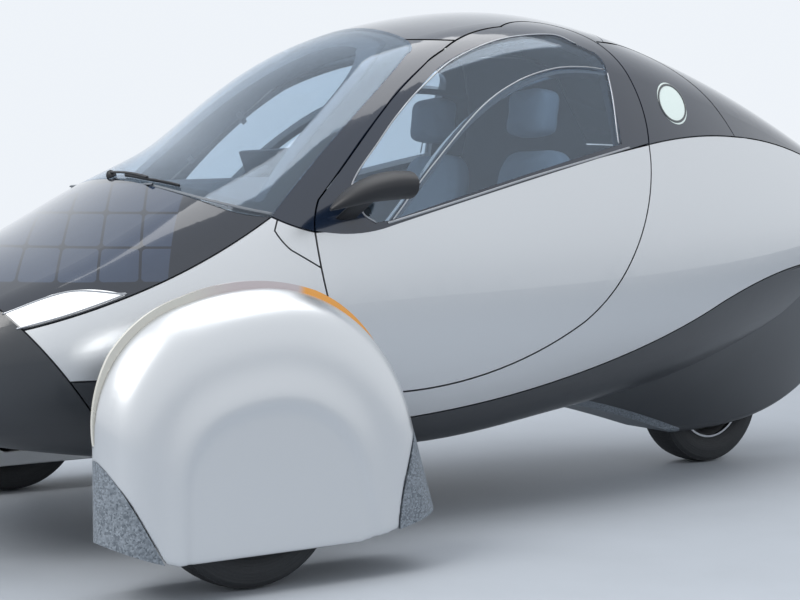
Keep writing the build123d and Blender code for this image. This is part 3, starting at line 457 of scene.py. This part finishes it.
def from_above(points, lift, count=60):
    """A line seen from above, dropped onto the windscreen and lifted off it by `lift`."""
    hits = [screen_skin.ray_cast((x, y, 2.2), (0, 0, -1))[:2] for x, y, _ in through(points, count)]
    normal = np.array([hit[1] for hit in hits])
    return np.array([hit[0] for hit in hits]) + normal * lift, normal


WIPER = (
    ("wiper_blade", ((0.135, -1.388, 0), (0.270, -1.374, 0), (0.415, -1.338, 0)), 0.007, 0.010, 0.007),
    ("wiper_arm", ((0.030, -1.392, 0), (0.140, -1.383, 0), (0.270, -1.374, 0)), 0.010, 0.006, 0.014),
)
for name, line, width, height, lift in WIPER:
    places, out = from_above(line, lift)
    points, faces = swept(places, out, rounded(width, height))
    wiper = make(name, points, faces, black, "body")
    if name == "wiper_blade":
        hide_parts("wiper")
places, out = from_above(((0.030, -1.392, 0), (0.031, -1.392, 0)), 0.0, 2)
cap_at, cap_up = places[0], out[0]
stem = np.linspace(0, 1, 8)[:, None]
t = np.linspace(0, 2 * np.pi, 24, endpoint=False)
beside = np.cross(cap_up, (1.0, 0, 0))
beside /= np.linalg.norm(beside)
ring = np.cos(t)[:, None] * beside + np.sin(t)[:, None] * np.cross(cap_up, beside)
cap_r = 0.017 * np.sqrt(1 - (stem * 0.93) ** 2)
cap = cap_at + cap_up * (stem * 0.022 - 0.002)[:, :, None] + ring * cap_r[:, :, None]
rows, columns = cap.shape[:2]
i, j = np.meshgrid(np.arange(rows - 1), np.arange(columns), indexing="ij")
right = (j + 1) % columns
quads = np.stack([i * columns + j, i * columns + right, (i + 1) * columns + right, (i + 1) * columns + j], axis=2)
lids = [list(range(columns))[::-1], list(range((rows - 1) * columns, rows * columns))]
make("wiper_cap", cap.reshape(-1, 3), quads.reshape(-1, 4).tolist() + lids, black, "body")

# Headlamp bezels: a thin pale rim bonded round each lens.
lamp_skin = skin_of("headlamps", "hood", "fender_left", "nose_fascia")
BEZEL = ((-1.925, 0.752), (-1.812, 0.796), (-1.728, 0.815), (-1.625, 0.806), (-1.612, 0.802), (-1.760, 0.751),
         (-1.900, 0.712))
places, out = lay(lamp_skin, BEZEL, 140)
points, faces = swept(places + out * 0.0005, out, rounded(0.005, 0.005))
for side, sign in SIDES:
    make(f"lamp_bezel_{side}", points, faces, satin, "body", mirror=sign < 0)

# Seats: moulded foam pads under a tight slate blue weave, a cushion, a tall back and a headrest to each person.
cloth = Finish("seat_weave", (0.20, 0.26, 0.33), 0.85)
cloth.shade(weave(cloth, 0.003), 0.75, 1.2)
cloth.bump(weave(cloth, 0.003), 0.0002)
VOXEL = 0.007
CLOTH_FRAMES = 20


def pillow(middle, half, lean, power=5.0, rows=40, columns=80):
    """A closed form between an egg and a box, leaning back: cosines and sines of two angles, each to 2 / power."""
    u = np.linspace(-np.pi / 2, np.pi / 2, rows)[1:-1, None]
    v = np.linspace(0, 2 * np.pi, columns, endpoint=False)[None]

    def bent(value):
        return np.sign(value) * abs(value) ** (2 / power)

    x, y = bent(np.cos(u)) * bent(np.cos(v)), bent(np.cos(u)) * bent(np.sin(v))
    z = bent(np.sin(u)) + 0 * v
    points = np.stack([x, y, z], axis=2) * half
    poles = np.array([(0, 0, -1), (0, 0, 1)]) * half
    turn = np.array([(1, 0, 0), (0, np.cos(lean), np.sin(lean)), (0, -np.sin(lean), np.cos(lean))])
    count = rows - 2
    i, j = np.meshgrid(np.arange(count - 1), np.arange(columns), indexing="ij")
    right = (j + 1) % columns
    quads = np.stack([i * columns + j, i * columns + right, (i + 1) * columns + right, (i + 1) * columns + j], axis=2)
    ring = np.arange(columns)
    low, high = count * columns, count * columns + 1
    fans = [[low, (k + 1) % columns, k] for k in ring]
    fans += [[high, high - 2 - columns + k + 1, high - 2 - columns + (k + 1) % columns + 1] for k in ring]
    return np.vstack([points.reshape(-1, 3), poles]) @ turn + middle, quads.reshape(-1, 4).tolist() + fans


def shaped(item):
    """The mesh that an object's modifiers leave."""
    return bpy.data.meshes.new_from_object(item.evaluated_get(bpy.context.evaluated_depsgraph_get()))


def filled(item, cap):
    """Made even by voxels, puffed by cloth under pressure, no point further than `cap` from where it was."""
    remesh = item.modifiers.new("even", "REMESH")
    remesh.mode, remesh.voxel_size = "VOXEL", VOXEL
    item.data = shaped(item)
    item.modifiers.clear()
    start = np.empty(len(item.data.vertices) * 3)
    item.data.vertices.foreach_get("co", start)
    fabric = item.modifiers.new("fabric", "CLOTH")
    fabric.settings.use_pressure = True
    fabric.settings.uniform_pressure_force = 4.0
    fabric.settings.effector_weights.gravity = 0.0
    for number in range(1, CLOTH_FRAMES + 1):
        bpy.context.scene.frame_set(number)
    end = np.empty_like(start)
    puffed = shaped(item)
    puffed.vertices.foreach_get("co", end)
    item.modifiers.clear()
    move = (end - start).reshape(-1, 3)
    far = np.linalg.norm(move, axis=1)[:, None]
    move *= np.minimum(1, cap / np.maximum(far, 1e-9))
    item.data.vertices.foreach_set("co", (start.reshape(-1, 3) + move).ravel())
    bpy.context.scene.frame_set(1)


SEAT_X = 0.31
# name, middle (along the car, up), half sizes, lean in degrees, how far the cloth may swell
PADS = (
    ("cushion", (-0.250, 0.528), (0.200, 0.235, 0.062), 0, 0.012),
    ("back", (0.083, 0.935), (0.200, 0.045, 0.330), -8.0, 0.012),
    ("headrest", (0.102, 1.385), (0.112, 0.044, 0.082), -6.0, 0.008),
)
for name, (y, z), half, lean, cap in PADS:
    points, faces = pillow((SEAT_X, y, z), half, np.radians(lean))
    pad = make(f"seat_{name}_left", points, faces, cloth, "body")
    filled(pad, cap)
    pad.data.shade_smooth()
    cloth.on(pad)
    twin = bpy.data.objects.new(f"seat_{name}_right", pad.data.copy())
    bpy.context.scene.collection.objects.link(twin)
    twin.data.transform(((-1, 0, 0, 0), (0, 1, 0, 0), (0, 0, 1, 0), (0, 0, 0, 1)))
    twin.data.flip_normals()
    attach(twin, "body")
    for item, (side, _) in ((pad, SIDES[0]), (twin, SIDES[1])):
        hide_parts(f"seat_{side}")

# Floor, sky and lamps of the picture
SIZE = 30.0
corners = np.array([(-1, -1, 0), (1, -1, 0), (1, 1, 0), (-1, 1, 0)], float) * SIZE
ground = bpy.data.meshes.new("ground")
ground.from_pydata(corners.tolist(), [], [(0, 1, 2, 3)])
floor = bpy.data.objects.new("ground", ground)
bpy.context.scene.collection.objects.link(floor)
concrete = Finish("pale_floor", (0.375, 0.405, 0.445), 0.65)
concrete.shade(concrete.noise(1.5, 6.0, 0.6), 0.9, 1.1)
concrete.on(floor)

world = bpy.data.worlds.new("sky")
bpy.context.scene.world = world
world.use_nodes = True
sky = world.node_tree.nodes["Background"]
sky.inputs["Color"].default_value = (0.86, 0.90, 0.95, 1.0)
sky.inputs["Strength"].default_value = 1.0


def lamp_panel(name, at, to, size, power, color=(1.0, 1.0, 1.0)):
    """Square soft light at one place, facing another."""
    light = bpy.data.lights.new(name, "AREA")
    light.shape, light.size, light.energy, light.color = "SQUARE", size, power, color
    holder = bpy.data.objects.new(name, light)
    bpy.context.scene.collection.objects.link(holder)
    holder.location = at
    holder.rotation_euler = (Vector(to) - Vector(at)).to_track_quat("-Z", "Y").to_euler()


lamp_panel("key", (2.0, -7.0, 6.5), (0, 0, 0.6), 4.0, 420.0, (1.0, 0.98, 0.95))
lamp_panel("overhead", (0.5, 0.5, 6.0), (0, 0, 0), 5.0, 160.0)

CAMERA = (4.880, -3.513, 1.058)
YAW, PITCH = np.radians(33.69), np.radians(3.35)
ahead = Vector((-np.cos(YAW) * np.cos(PITCH), np.sin(YAW) * np.cos(PITCH), -np.sin(PITCH)))
lens = bpy.data.cameras.new("photo")
lens.lens, lens.sensor_width = 72.9, 36.0
camera = bpy.data.objects.new("photo", lens)
bpy.context.scene.collection.objects.link(camera)
camera.location = CAMERA
camera.rotation_euler = ahead.to_track_quat("-Z", "Y").to_euler()
bpy.context.scene.camera = camera
bpy.context.scene.view_settings.view_transform = "Standard"
